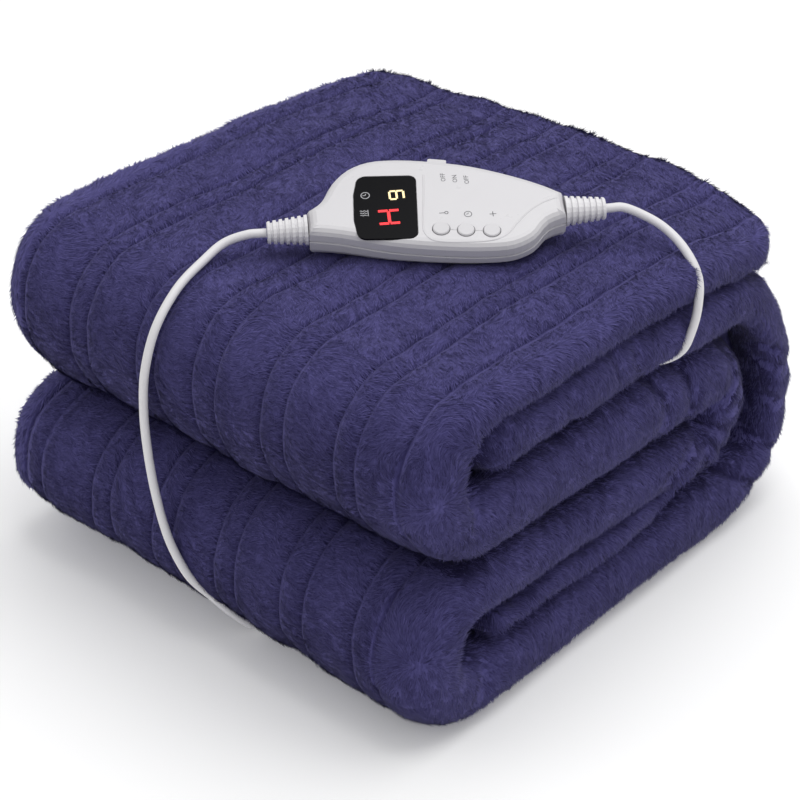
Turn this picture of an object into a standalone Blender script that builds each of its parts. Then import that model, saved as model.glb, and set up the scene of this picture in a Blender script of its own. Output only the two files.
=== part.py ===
"""Electric heated blanket: plush cloth folded into a pile, with its handset on top, two leads and a plug.

Metres, +Z up. The pile stands on z = 0 with the middle of its footprint at the origin. Its two rounded folds
look along -Y, its layers' edges along -X and +X, and its outer fold runs up the +Y side.
"""

import math
from collections import namedtuple

import bmesh
import bpy
import numpy as np
from mathutils import Matrix, Vector

MM = 0.001
GAP = 0.3 * MM  # between pieces that touch

# ---------------------------------------------------------------- blanket
WIDTH = 315 * MM  # along X
EDGE_ROUND = 21 * MM  # how far in from each X end the layers start to thin
EDGE_SHARE = 0.36  # of its thickness that a layer keeps at its very edge
PLAN_ROUND = 38 * MM  # how far in from each X end the folds start to draw back
PLAN_DRAW = 0.07  # share of its y by which a fold has drawn back at the very end
TAIL_DRAW = 0.11  # the same, added for the corners of the top layer's free end
TAIL_FROM = (60 * MM, 176 * MM)  # y and z past which a point belongs to that end

# The folded cloth, seen from +X, as the middle line of one long band: a row for each stretch of a layer,
# in order along the band, then how the band turns to the next one. y, z and half (half the thickness) in mm.
# turn is how far the middle line reaches past the two rows in y, 0 where the next row follows on straight,
# turn_half is half the thickness at its furthest point, and squareness is its superellipse's exponent.
Stretch = namedtuple("Stretch", "layer y z half turn turn_half squareness")
BAND = (
    Stretch("top", 146, 192.5, 12, 0, 0, 2),
    Stretch("top", 20, 199, 10.5, 0, 0, 2),
    Stretch("top", -119, 202, 9.5, -34.5, 15.5, 2.1),
    Stretch("third", -119, 130, 22.5, 0, 0, 2),
    Stretch("third", 20, 125.5, 24.5, 0, 0, 2),
    Stretch("third", 86, 119, 22, 24.5, 21, 2),
    Stretch("fourth", 86, 70.5, 21.5, 0, 0, 2),
    Stretch("fourth", 50, 78.5, 17, 0, 0, 2),
    Stretch("fourth", -124, 87, 18, -31.5, 17, 2.2),
    Stretch("bottom", -124, 22.5, 22.5, 0, 0, 2),
    Stretch("bottom", 110.5, 22.5, 22.5, 56.3, 12.5, 2.7),
    Stretch("second", 92, 161.5, 16.5, 0, 0, 2),
    Stretch("second", 20, 169.5, 16.5, 0, 0, 2),
    Stretch("second", -104, 173.5, 17, 0, 0, 2),
)
# The loose inner ply between the fourth layer and the bottom one, joined to the fourth near the back
PLY = ((-103, 57.5, 8), (0, 55.5, 8), (40, 57, 8), (72, 68, 8))  # y, z and half in mm
PLY_INSET = 2 * MM
TURN_STEPS = 11
END_STEPS = 4  # points round a quarter of a band's rounded end
CROWN = 3 * MM  # how much higher the middle of the top is than its rim
CROWN_MIDDLE = (10 * MM, 10 * MM)
CROWN_REACH = 105 * MM
TOP_FACE_FROM = 192 * MM  # z above which a point belongs to the crowned top
SECTION_STEP = 26  # mm, the longest straight stretch between two rows of the loft

# The lead's way under the pile: a shallow channel that the cloth's weight leaves round it
CHANNEL_X = 12 * MM
CHANNEL_WIDTH = 7.4 * MM
CHANNEL_HEIGHT = 6.6 * MM

# ---------------------------------------------------------------- handset
# The handset's own axes: u along it, v across it to its far side, n up out of its face. Its origin is on the
# face, on the line between its two strain reliefs.
FACE_CENTRE = (40.3 * MM, -24.2 * MM, 236.2 * MM)
HEADING = 40.8  # degrees from +X, the level direction about which the face leans
FACE_LEAN = 17.0  # degrees that the face leans towards the front
FACE_TURN = 5.7  # degrees that the handset is turned within its face
WEDGE = 11.0  # degrees between the face and the underside
THICK_AT_AXIS = 21.5 * MM
COVER_DEPTH = 9 * MM  # from the face down to the seam between cover and base
# (height below the face, inset from the outline) in mm, up the cover's side and over its rounded rim
COVER_LEVELS = ((-9, 0.5), (-8.4, 0), (-4, 0.3), (-2, 1.3), (-0.6, 3), (0, 5))
# (share of the way from the underside up to the seam, inset in mm) up the base's side
BASE_LEVELS = ((0.0, 4.5), (0.16, 1.6), (0.4, 0.3), (0.93, 0), (1.0, 0.5))

# Outline round the seam, in mm (u, v), anticlockwise from the lead end nearest the front: a smooth closed curve
OUTLINE = (
    (-70, -8.2), (-53, -12.2), (-28, -20.5), (2, -26.8), (26, -29.6), (39, -29), (50.5, -23.4), (59.5, -12.8),
    (70, -8.4), (70, 8.4), (61, 15), (45, 24), (22, 34), (2, 39.4), (-18, 42.8), (-34, 42.6), (-46, 37.5),
    (-55.5, 27.6), (-62.5, 14.5), (-70, 8.2),
)
OUTLINE_STEPS = 3
END_ROWS = (0, 8, 9, 19)  # outline points where the curve has a corner

BUTTON_RADIUS = 4.6 * MM
BUTTON_CLEARANCE = 0.4 * MM
BUTTON_HEIGHT = 3 * MM
BUTTON_PROUD = 1 * MM
BUTTON_TRAVEL = 0.8 * MM
BUTTON_POCKET = 3.2 * MM
BUTTONS_UV = ((0.8, -14.2), (14.0, -16.4), (27.8, -18.2))  # mm

DISPLAY_SIZE = (31.5 * MM, 46.5 * MM)
DISPLAY_MIDDLE = (-26.2 * MM, 4.8 * MM)
DISPLAY_TURN = -4.0  # degrees that it is turned in the face
DISPLAY_ROUND = 4 * MM
DISPLAY_BOW = 3.2 * MM  # how far its end nearest the mains lead bows out
DISPLAY_THICK = 1.2 * MM
DISPLAY_SINK = 0.15 * MM

SWITCH_SIZE = (10.4 * MM, 4.4 * MM, 3 * MM)  # along its travel, in and out, up
SWITCH_MIDDLE = (4.0 * MM, 38.9 * MM, -5.2 * MM)
SWITCH_SLOPE = -12.0  # degrees from u, along the handset's far side
SWITCH_TRAVEL = 12.6 * MM
SWITCH_SINK = 1.6 * MM  # how far its inner side sits inside the cover
SWITCH_ROOM = 0.4 * MM  # round it in its slot
SLOT_DEPTH = 8 * MM
CUT_OVER = 2 * MM  # how far a cutter reaches past the face

RELIEF_LENGTH = 22 * MM
RELIEF_RADII = (8.4 * MM, 6.1 * MM)  # at the handset, at the lead
RELIEF_AXIS_N = -8.4 * MM
RELIEF_RIBS = 6
RELIEF_GROOVE = 1.1 * MM

# ---------------------------------------------------------------- leads
LEAD_RADIUS = 2.5 * MM
# Hand-chosen points that each lead passes through, in mm, after it has left its strain relief
MAINS_ROUTE = (
    (-42.5, -100, 219.5), (-44, -122.5, 216.2), (-41.5, -145.5, 211.2), (-38, -165.6, 197.4),
    (-37.5, -174.8, 175), (-40, -175.4, 150), (-39, -175.6, 127), (-34.5, -176, 97), (-26, -176.6, 70),
    (-15.5, -176, 53), (-8, -174.4, 42), (-2, -171, 29.5), (5, -164.4, 14.6), (9.9, -153, 5.0),
    (11.8, -139, 2.9), (12, -122, 2.9), (12, -50, 2.9), (12, 30, 2.9), (12, 110, 2.9), (12, 192.1, 2.9),
)
SUPPLY_ROUTE = (
    (118, 60, 227.5), (131.5, 66.5, 221.8), (147.5, 66.2, 214.8), (160, 62.5, 203.5), (162.8, 57.5, 188),
    (161.4, 52.5, 173), (158.6, 46.5, 161.5), (151, 41, 154), (141, 36.5, 151), (130, 32.5, 149.9),
    (119, 28.5, 149.6),
)
TUNNEL_EXTRA = 1.2 * MM  # room round the blanket's lead where it goes in between two layers
TUNNEL_FROM = 5  # point of the route at which that room starts

COIL_MIDDLE = (-21 * MM, 211 * MM)
COIL_RADIUS = 28 * MM  # to the middle of its turns
COIL_HALF_WIDTH = 7.6 * MM
COIL_HEIGHT = 14.1 * MM
TAIL_ROUTE = ((-46.3, 239, 11.5), (-57, 238.4, 11.4), (-69, 235.6, 11.2), (-80, 231.4, 10.9))  # mm
PLUG_LENGTH = 24 * MM
PLUG_RELIEF = 22 * MM
PLUG_HEADING = 202.0  # degrees from +X, the way its pins point
PLUG_SIZE = (26 * MM, 21 * MM)  # across its pins, and high
PIN_SIZE = (6.3 * MM, 1.6 * MM, 17 * MM)
PIN_SPREAD = 6.9 * MM  # from the plug's middle to each pin's middle
PIN_SLANT = 30.0


# ---------------------------------------------------------------- tools
def material(name, colour, roughness, metallic=0.0):
    made = bpy.data.materials.new(name)
    made.use_nodes = True
    shader = made.node_tree.nodes["Principled BSDF"]
    shader.inputs["Base Color"].default_value = (*colour, 1)
    shader.inputs["Roughness"].default_value = roughness
    shader.inputs["Metallic"].default_value = metallic
    return made


def add_object(name, mesh, finish=None, place=None):
    made = bpy.data.objects.new(name, mesh)
    bpy.context.scene.collection.objects.link(made)
    if finish is not None:
        mesh.materials.append(finish)
    if place is not None:
        made.matrix_world = place
    return made


def loft(name, rings):
    """A closed mesh through equal rings of points, with a flat face over each end ring."""
    points = np.concatenate(rings)
    count = len(rings[0])
    faces = [tuple(range(count))[::-1]]
    for row in range(len(rings) - 1):
        for i in range(count):
            j = (i + 1) % count
            faces.append((row * count + i, row * count + j, (row + 1) * count + j, (row + 1) * count + i))
    faces.append(tuple(range((len(rings) - 1) * count, len(rings) * count)))
    mesh = bpy.data.meshes.new(name)
    mesh.from_pydata(points.tolist(), [], faces)
    shape = bmesh.new()
    shape.from_mesh(mesh)
    bmesh.ops.recalc_face_normals(shape, faces=shape.faces)
    shape.to_mesh(mesh)
    shape.free()
    return mesh


def smooth_edges(mesh, degrees=35):
    mesh.shade_smooth()
    mesh.set_sharp_from_angle(angle=math.radians(degrees))


def boolean(target, cutter, operation):
    step = target.modifiers.new(cutter.name, "BOOLEAN")
    step.operation = operation
    step.object = cutter
    cutter.hide_render = True
    cutter.display_type = "WIRE"


def through(points, spacing=None, steps=6, closed=False, corners=()):
    """Points along a smooth curve through the given ones (a centripetal-like cubic on chord lengths),
    spaced evenly where spacing is given. A point numbered in corners keeps its corner."""
    points = np.asarray(points, float)
    count = len(points)
    spans = count if closed else count - 1
    curve = []
    for i in range(spans):
        here, there = points[i], points[(i + 1) % count]
        before = points[(i - 1) % count] if closed or i > 0 else 2 * here - there
        after = points[(i + 2) % count] if closed or i + 2 < count else 2 * there - here
        if i in corners:
            before = 2 * here - there
        if (i + 1) % count in corners:
            after = 2 * there - here
        legs = (here - before, there - here, after - there)
        root = [max(np.linalg.norm(leg), 1e-9) ** 0.5 for leg in legs]
        first = legs[0] / root[0] - (legs[0] + legs[1]) / (root[0] + root[1]) + legs[1] / root[1]
        last = legs[1] / root[1] - (legs[1] + legs[2]) / (root[1] + root[2]) + legs[2] / root[2]
        first, last = first * root[1], last * root[1]
        for t in np.arange(steps) / steps:
            curve.append(
                (2 * t**3 - 3 * t**2 + 1) * here
                + (t**3 - 2 * t**2 + t) * first
                + (3 * t**2 - 2 * t**3) * there
                + (t**3 - t**2) * last
            )
    if not closed:
        curve.append(points[-1])
    curve = np.array(curve)
    if spacing is None:
        return curve
    along = np.concatenate([[0], np.cumsum(np.linalg.norm(np.diff(curve, axis=0), axis=1))])
    wanted = np.linspace(0, along[-1], max(2, round(along[-1] / spacing) + 1))
    return np.stack([np.interp(wanted, along, column) for column in curve.T], axis=1)


def tube(name, points, radius, finish, sides=2):
    """A round tube along the points, its ends filled."""
    line = bpy.data.curves.new(name, "CURVE")
    line.dimensions = "3D"
    line.bevel_depth = radius
    line.bevel_resolution = sides
    line.use_fill_caps = True
    spline = line.splines.new("POLY")
    spline.points.add(len(points) - 1)
    for target, point in zip(spline.points, points):
        target.co = (*point, 1)
    return add_object(name, line, finish)


# ---------------------------------------------------------------- blanket
def turn(start, end, reach, half, squareness):
    """Half a superellipse from start to end, reaching sideways in y, with its half thickness along it."""
    angles = np.linspace(0, math.pi, TURN_STEPS + 2)[1:-1]
    middle, arm = (start[:2] + end[:2]) / 2, (start[:2] - end[:2]) / 2
    power = 2 / squareness
    cosine = np.sign(np.cos(angles)) * np.abs(np.cos(angles)) ** power
    sine = np.sin(angles) ** power
    places = middle + cosine[:, None] * arm + sine[:, None] * np.array([reach, 0])
    share = angles / math.pi
    plain = start[2] * (1 - share) + end[2] * share
    bulge = np.sin(angles) ** 2
    return np.column_stack([places, plain * (1 - bulge) + half * bulge])


def band_line():
    """The band's middle line as rows of y, z and half thickness, in mm."""
    rows = []
    for row, after in zip(BAND, BAND[1:] + (None,)):
        start = np.array([row.y, row.z, row.half], float)
        rows.append(start[None])
        if row.turn:
            end = np.array([after.y, after.z, after.half], float)
            rows.append(turn(start, end, row.turn, row.turn_half, row.squareness))
    return np.concatenate(rows)


def spread(line, longest=SECTION_STEP):
    """Extra rows on the straight stretches, so that the loft has points all along them."""
    rows = [line[:1]]
    for a, b in zip(line, line[1:]):
        count = max(1, math.ceil(np.linalg.norm(b[:2] - a[:2]) / longest))
        rows.append(a + (b - a) * (np.arange(1, count + 1) / count)[:, None])
    return np.concatenate(rows)


def outline_of(line, share):
    """The band's edge all round, at this share of its thickness: along one face, round the end, back."""
    steps = np.diff(line[:, :2], axis=0)
    steps /= np.linalg.norm(steps, axis=1)[:, None]
    along = np.concatenate([steps[:1], steps[:-1] + steps[1:], steps[-1:]])
    along /= np.linalg.norm(along, axis=1)[:, None]
    normal = np.stack([-along[:, 1], along[:, 0]], axis=1)
    half = line[:, 2:3] * share
    left, right = line[:, :2] + normal * half, line[:, :2] - normal * half
    angles = np.linspace(math.pi / 2, -math.pi / 2, 2 * END_STEPS + 1)[1:-1]

    def cap(at, way, size):
        side = np.array([-way[1], way[0]])
        return at + size * (np.cos(angles)[:, None] * way + np.sin(angles)[:, None] * side)

    last = cap(line[-1, :2], along[-1], half[-1])
    first = cap(line[0, :2], -along[0], half[0])
    return np.concatenate([left, last, right[::-1], first])


def band_mesh(name, line, width, inset=0.0):
    """The band lofted along X, thinning to a rounded edge at both ends."""
    reach = EDGE_ROUND
    stops = np.sqrt(1 - np.linspace(EDGE_SHARE, 1, 5) ** 2)[:-1]
    half_width = width / 2 - inset
    outer = half_width - reach + stops / stops[0] * reach
    inner = np.linspace(half_width - reach, 0, 4)
    places = np.concatenate([outer, inner])
    shares = np.concatenate([np.linspace(EDGE_SHARE, 1, 5)[:-1], np.ones(len(inner))])
    places = np.concatenate([-places, places[-2::-1]])
    shares = np.concatenate([shares, shares[-2::-1]])
    rings = []
    for x, share in zip(places, shares):
        section = outline_of(line, share) * MM
        inward = min(1.0, (width / 2 - abs(x)) / PLAN_ROUND)
        drawn = 1 - math.sqrt(1 - (1 - inward) ** 2)
        tail = (section[:, 1] > TAIL_FROM[1]) * np.clip((section[:, 0] - TAIL_FROM[0]) / TAIL_FROM[0], 0, 1)
        section[:, 0] *= 1 - drawn * (PLAN_DRAW + TAIL_DRAW * tail)
        rings.append(np.column_stack([np.full(len(section), x), section]))
    points = np.concatenate(rings)
    distance = np.hypot(points[:, 0] - CROWN_MIDDLE[0], points[:, 1] - CROWN_MIDDLE[1]) / CROWN_REACH
    crown = CROWN * np.exp(-(distance**2)) * (points[:, 2] > TOP_FACE_FROM)
    points[:, 2] += crown
    return loft(name, np.split(points, len(places)))


def lead_channel():
    """A cutter for the way under the pile: a low tunnel with a round top."""
    half = CHANNEL_WIDTH / 2
    angles = np.linspace(0, math.pi, 7)
    arch = np.stack([CHANNEL_X + half * np.cos(angles), CHANNEL_HEIGHT - half + half * np.sin(angles)], axis=1)
    foot = np.array([[CHANNEL_X - half, -2 * MM], [CHANNEL_X + half, -2 * MM]])
    section = np.concatenate([arch, foot])
    rings = [np.column_stack([section[:, 0], np.full(len(section), y), section[:, 1]]) for y in (-0.2, 0.2)]
    return add_object("channel_cutter", loft("channel_cutter", rings))


def build_blanket(finish):
    line = spread(band_line())
    mesh = band_mesh("blanket", line, WIDTH)
    smooth_edges(mesh, 50)
    blanket = add_object("blanket", mesh, finish)
    ply = spread(np.array(PLY, float))
    inner = add_object("inner_ply", band_mesh("inner_ply", ply, WIDTH, PLY_INSET))
    boolean(blanket, inner, "UNION")
    boolean(blanket, lead_channel(), "DIFFERENCE")
    inside = through(np.array(SUPPLY_ROUTE) * MM, 2.5 * LEAD_RADIUS)
    start = np.argmin(np.linalg.norm(inside - np.array(SUPPLY_ROUTE[TUNNEL_FROM]) * MM, axis=1))
    inside = np.concatenate([inside[start:], [inside[-1] + (inside[-1] - inside[-2]) * 0.5]])
    boolean(blanket, solid_tube("supply_tunnel", inside, LEAD_RADIUS + TUNNEL_EXTRA), "DIFFERENCE")
    return blanket


def solid_tube(name, points, radius, sides=10):
    """A round bar as a mesh along the points, for cutting, each ring square to the way it goes."""
    way = np.gradient(points, axis=0)
    way /= np.linalg.norm(way, axis=1)[:, None]
    level = np.cross(way, [0, 0, 1.0])
    level /= np.linalg.norm(level, axis=1)[:, None]
    up = np.cross(level, way)
    angles = np.linspace(0, 2 * math.pi, sides, endpoint=False)
    rings = [
        point + radius * (np.cos(angles)[:, None] * a + np.sin(angles)[:, None] * b)
        for point, a, b in zip(points, level, up)
    ]
    return add_object(name, loft(name, rings))


# ---------------------------------------------------------------- handset
def handset_place():
    """The matrix from the handset's own axes to the world."""
    turned = Matrix.Rotation(math.radians(HEADING), 4, "Z")
    leaned = Matrix.Rotation(math.radians(FACE_LEAN), 4, "X")
    spun = Matrix.Rotation(math.radians(FACE_TURN), 4, "Z")
    return Matrix.Translation(FACE_CENTRE) @ turned @ leaned @ spun


def inset_outline(curve, inset):
    """The outline moved in by inset, each point along its own inward normal."""
    along = np.roll(curve, -1, axis=0) - np.roll(curve, 1, axis=0)
    along /= np.linalg.norm(along, axis=1)[:, None]
    return curve + inset * np.stack([-along[:, 1], along[:, 0]], axis=1)


def outline_curve():
    return through(np.array(OUTLINE) * MM, steps=OUTLINE_STEPS, closed=True, corners=END_ROWS)


def build_cover(place, finish):
    curve = outline_curve()
    lowest = -COVER_DEPTH + GAP / 2
    rings = [
        np.column_stack([inset_outline(curve, inset * MM), np.full(len(curve), max(z * MM, lowest))])
        for z, inset in COVER_LEVELS
    ]
    mesh = loft("handset_cover", rings)
    smooth_edges(mesh)
    return add_object("handset_cover", mesh, finish, place)


def build_base(place, finish):
    curve = outline_curve()
    slope = math.tan(math.radians(WEDGE))
    rings = []
    for share, inset in BASE_LEVELS:
        flat = inset_outline(curve, inset * MM)
        under = -THICK_AT_AXIS - flat[:, 1] * slope
        seam = -COVER_DEPTH - GAP / 2
        rings.append(np.column_stack([flat, under + (seam - under) * share]))
    mesh = loft("handset_base", rings)
    smooth_edges(mesh)
    return add_object("handset_base", mesh, finish, place)


def rounded_block(name, size, corner, steps=4, bow=0.0):
    """A slab with rounded corners, its top at z = 0; bow pushes its -X side out in a shallow arc."""
    across, deep, thick = size
    points = []
    for quarter in range(4):
        middle = np.array([(1, 1), (-1, 1), (-1, -1), (1, -1)][quarter]) * (
            np.array([across, deep]) / 2 - corner
        )
        for angle in np.linspace(0, math.pi / 2, steps + 1) + quarter * math.pi / 2:
            points.append(middle + corner * np.array([math.cos(angle), math.sin(angle)]))
    points = np.array(points)
    if bow:
        points = np.insert(points, 2 * (steps + 1), [[-across / 2, y] for y in (deep / 5, -deep / 5)], axis=0)
        left = points[:, 0] < 0
        points[left, 0] -= bow * (1 - (points[left, 1] / (deep / 2)) ** 2)
    rings = [np.column_stack([points, np.full(len(points), z)]) for z in (-thick, 0)]
    return loft(name, rings)


def disc(name, radius, bottom, levels, sides=24):
    """A round button or pocket: rings at (height, radius) from its bottom up."""
    angles = np.linspace(0, 2 * math.pi, sides, endpoint=False)
    circle = np.stack([np.cos(angles), np.sin(angles)], axis=1)
    rows = ((bottom, radius),) + levels
    return loft(name, [np.column_stack([circle * r, np.full(sides, z)]) for z, r in rows])


def build_display(place, cover, finish):
    u, v = DISPLAY_MIDDLE
    turned = Matrix.Rotation(math.radians(DISPLAY_TURN), 4, "Z")
    at = place @ Matrix.Translation((u, v, -DISPLAY_SINK)) @ turned
    size = (*DISPLAY_SIZE, DISPLAY_THICK)
    window = rounded_block("display_window", size, DISPLAY_ROUND, bow=DISPLAY_BOW)
    add_object("display_window", window, finish, at)
    wide = (DISPLAY_SIZE[0] + 2 * GAP, DISPLAY_SIZE[1] + 2 * GAP, DISPLAY_THICK + GAP + CUT_OVER)
    recess = rounded_block("display_recess", wide, DISPLAY_ROUND + GAP, bow=DISPLAY_BOW)
    above = place @ Matrix.Translation((u, v, CUT_OVER - DISPLAY_SINK)) @ turned
    boolean(cover, add_object("display_recess", recess, None, above), "DIFFERENCE")


def build_buttons(place, cover, finish):
    for number, (u, v) in enumerate(BUTTONS_UV, 1):
        at = place @ Matrix.Translation((u * MM, v * MM, 0))
        low = BUTTON_PROUD - BUTTON_HEIGHT
        levels = ((BUTTON_PROUD - 0.5 * MM, BUTTON_RADIUS), (BUTTON_PROUD, BUTTON_RADIUS - 0.5 * MM))
        mesh = disc(f"button_{number}", BUTTON_RADIUS, low, levels)
        smooth_edges(mesh)
        add_object(f"button_{number}", mesh, finish, at)
        wide = BUTTON_RADIUS + BUTTON_CLEARANCE
        pocket = disc(f"button_pocket_{number}", wide, -BUTTON_POCKET, ((CUT_OVER, wide),))
        boolean(cover, add_object(f"button_pocket_{number}", pocket, None, at), "DIFFERENCE")


def build_switch(place, cover, finish):
    at = place @ Matrix.Translation(SWITCH_MIDDLE) @ Matrix.Rotation(math.radians(SWITCH_SLOPE), 4, "Z")
    along, deep, tall = SWITCH_SIZE
    knob = rounded_block("slide_switch", (along, deep, tall), 0.8 * MM, steps=2)
    add_object("slide_switch", knob, finish, at @ Matrix.Translation((0, deep / 2 - SWITCH_SINK, tall / 2)))
    size = (along + SWITCH_TRAVEL + 2 * SWITCH_ROOM, SLOT_DEPTH, tall + 2 * SWITCH_ROOM)
    slot = rounded_block("switch_slot", size, 0.8 * MM, steps=2)
    outward = SLOT_DEPTH / 2 - SWITCH_SINK - SWITCH_ROOM
    middle = at @ Matrix.Translation((SWITCH_TRAVEL / 2, outward, tall / 2 + SWITCH_ROOM))
    boolean(cover, add_object("switch_slot", slot, None, middle), "DIFFERENCE")


def relief_profile(length, radii, ribs):
    """(distance, radius) rows of a tapered sleeve with square-cut grooves between its ribs."""
    pitch = length / (ribs + 0.5)
    rows = [(0, radii[0])]
    for rib in range(ribs):
        for share, drop in ((0.5, 0), (0.58, 1), (0.92, 1), (1.0, 0)):
            distance = (rib + share) * pitch
            rows.append((distance, radii[0] + (radii[1] - radii[0]) * distance / length - drop * RELIEF_GROOVE))
    rows.append((length - 0.5 * MM, radii[1]))
    rows.append((length, radii[1] - 0.5 * MM))
    return rows


def build_relief(name, place, side, finish, sides=18):
    """A ribbed sleeve at one end of the handset, its axis along u."""
    profile = relief_profile(RELIEF_LENGTH, RELIEF_RADII, RELIEF_RIBS)
    start = side * (OUTLINE[9][0] * MM + GAP)
    angles = np.linspace(0, 2 * math.pi, sides, endpoint=False)
    rings = [
        np.column_stack([np.full(sides, side * distance), radius * np.cos(angles), radius * np.sin(angles)])
        for distance, radius in profile
    ]
    mesh = loft(name, rings)
    smooth_edges(mesh)
    add_object(name, mesh, finish, place @ Matrix.Translation((start, 0, RELIEF_AXIS_N)))
    end = start + side * (RELIEF_LENGTH + 2 * GAP)
    leave = [place @ Vector((end + side * step * MM, 0, RELIEF_AXIS_N)) for step in (0, 3, 9)]
    return [np.array(point) for point in leave]


def build_handset(white, dark, key):
    place = handset_place()
    cover = build_cover(place, white)
    build_base(place, white)
    build_display(place, cover, dark)
    build_buttons(place, cover, key)
    build_switch(place, cover, key)
    mains_start = build_relief("strain_relief_mains", place, -1, white)
    supply_start = build_relief("strain_relief_blanket", place, 1, white)
    return mains_start, supply_start


# ---------------------------------------------------------------- leads and plug
def build_coil(finish):
    """The mains lead's stored turns as one turned ring, lying on the ground behind the pile."""
    round_by = 3 * MM
    section = []
    for quarter, (a, b) in enumerate(((1, 1), (-1, 1), (-1, -1), (1, -1))):
        for angle in np.linspace(0, math.pi / 2, 3) + quarter * math.pi / 2:
            section.append(
                (
                    COIL_RADIUS + a * (COIL_HALF_WIDTH - round_by) + round_by * math.cos(angle),
                    COIL_HEIGHT / 2 + b * (COIL_HEIGHT / 2 - round_by) + round_by * math.sin(angle),
                )
            )
    shape = bmesh.new()
    loop = [shape.verts.new((r, 0, z)) for r, z in section]
    edges = [shape.edges.new((loop[i], loop[(i + 1) % len(loop)])) for i in range(len(loop))]
    bmesh.ops.spin(
        shape, geom=loop + edges, cent=(0, 0, 0), axis=(0, 0, 1), angle=math.tau, steps=32, use_merge=True
    )
    bmesh.ops.remove_doubles(shape, verts=shape.verts, dist=1e-6)
    bmesh.ops.recalc_face_normals(shape, faces=shape.faces)
    mesh = bpy.data.meshes.new("mains_coil")
    shape.to_mesh(mesh)
    shape.free()
    smooth_edges(mesh)
    add_object("mains_coil", mesh, finish, Matrix.Translation((*COIL_MIDDLE, 0)))


def build_plug(finish, steel):
    """A two-pin plug lying on the ground, its sleeve towards the coil."""
    heading = math.radians(PLUG_HEADING)
    end = np.array(TAIL_ROUTE[-1]) * MM
    way = np.array([math.cos(heading), math.sin(heading), 0])
    place = Matrix.Translation(end + way * GAP) @ Matrix.Rotation(heading, 4, "Z")
    across, high = PLUG_SIZE
    half = np.array([across, high]) / 2
    angles = np.linspace(0, 2 * math.pi, 24, endpoint=False)
    sleeve = np.stack([np.cos(angles), np.sin(angles)], axis=1)
    squared = np.sign(sleeve) * np.abs(sleeve) ** 0.6
    front = PLUG_RELIEF + PLUG_LENGTH
    rows = (
        (0, sleeve * 3.6 * MM),
        (0.4 * MM, sleeve * 4 * MM),
        (PLUG_RELIEF * 0.75, sleeve * 5.2 * MM),
        (PLUG_RELIEF, squared * half * 0.62),
        (PLUG_RELIEF + 5 * MM, squared * half * 0.93),
        (PLUG_RELIEF + 9 * MM, squared * half),
        (front - 1 * MM, squared * half),
        (front, squared * (half - 0.8 * MM)),
    )
    rings = [np.column_stack([np.full(24, x), section]) for x, section in rows]
    mesh = loft("plug_body", rings)
    smooth_edges(mesh)
    add_object("plug_body", mesh, finish, place)
    face = rows[-1][0] + GAP
    wide, thin, length = PIN_SIZE
    for name, side in (("plug_pin_1", -1), ("plug_pin_2", 1)):
        blade = rounded_block(name, (wide, thin, length), 0.4 * MM, steps=2)
        turned = Matrix.Rotation(math.radians(90), 4, "Y") @ Matrix.Rotation(side * math.radians(PIN_SLANT), 4, "Z")
        at = place @ Matrix.Translation((face + length, side * PIN_SPREAD, 0)) @ turned
        add_object(name, blade, steel, at)


def build_leads(mains_start, supply_start, finish):
    spacing = 2.5 * 2 * LEAD_RADIUS
    mains = np.concatenate([mains_start, np.array(MAINS_ROUTE) * MM])
    tube("mains_lead", through(mains, spacing), LEAD_RADIUS, finish)
    supply = np.concatenate([supply_start, np.array(SUPPLY_ROUTE) * MM])
    tube("blanket_lead", through(supply, spacing * 0.7), LEAD_RADIUS, finish)
    tube("mains_tail", through(np.array(TAIL_ROUTE) * MM, spacing * 0.6), LEAD_RADIUS, finish)


def main():
    for thing in list(bpy.data.objects):
        bpy.data.objects.remove(thing, do_unlink=True)
    plush = material("navy_plush", (0.055, 0.05, 0.16), 0.95)
    white = material("white_plastic", (0.83, 0.82, 0.83), 0.3)
    key = material("white_keys", (0.8, 0.8, 0.81), 0.35)
    dark = material("black_window", (0.008, 0.008, 0.01), 0.12)
    sheath = material("white_sheath", (0.84, 0.83, 0.83), 0.38)
    steel = material("plated_brass", (0.75, 0.72, 0.62), 0.25, 1.0)
    build_blanket(plush)
    mains_start, supply_start = build_handset(white, dark, key)
    build_leads(mains_start, supply_start, sheath)
    build_coil(sheath)
    build_plug(white, steel)


main()
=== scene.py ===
"""Looks of the folded electric blanket: quilted plush cloth, its handset, leads and plug, and the stage."""

import math
from collections import namedtuple

import bmesh
import bpy
import numpy as np
from bpy.props import FloatProperty, FloatVectorProperty, IntProperty, PointerProperty
from mathutils import Matrix, Vector
from mathutils.bvhtree import BVHTree


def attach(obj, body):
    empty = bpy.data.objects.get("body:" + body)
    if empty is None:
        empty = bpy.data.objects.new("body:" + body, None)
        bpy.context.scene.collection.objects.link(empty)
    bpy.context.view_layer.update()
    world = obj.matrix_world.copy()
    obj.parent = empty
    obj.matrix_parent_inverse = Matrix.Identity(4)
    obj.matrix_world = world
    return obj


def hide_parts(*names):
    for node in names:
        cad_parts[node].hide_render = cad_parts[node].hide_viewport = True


bl_info = {
    "name": "Folded Electric Blanket",
    "version": (1, 0, 0),
    "blender": (4, 5, 0),
    "location": "View3D > Sidebar > Blanket",
    "description": "Builds a folded plush electric blanket with its handset, leads and plug",
    "category": "Add Mesh",
}

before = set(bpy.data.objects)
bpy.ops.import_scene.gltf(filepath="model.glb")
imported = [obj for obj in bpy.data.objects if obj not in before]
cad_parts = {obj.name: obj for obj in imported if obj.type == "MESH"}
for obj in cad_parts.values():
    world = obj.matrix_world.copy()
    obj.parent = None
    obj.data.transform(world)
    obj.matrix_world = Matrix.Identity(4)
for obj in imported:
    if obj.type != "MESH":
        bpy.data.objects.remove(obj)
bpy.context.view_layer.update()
PILE = "pile"  # the body that everything but the keys rides on
MM = 0.001
SEED = 20260

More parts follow.
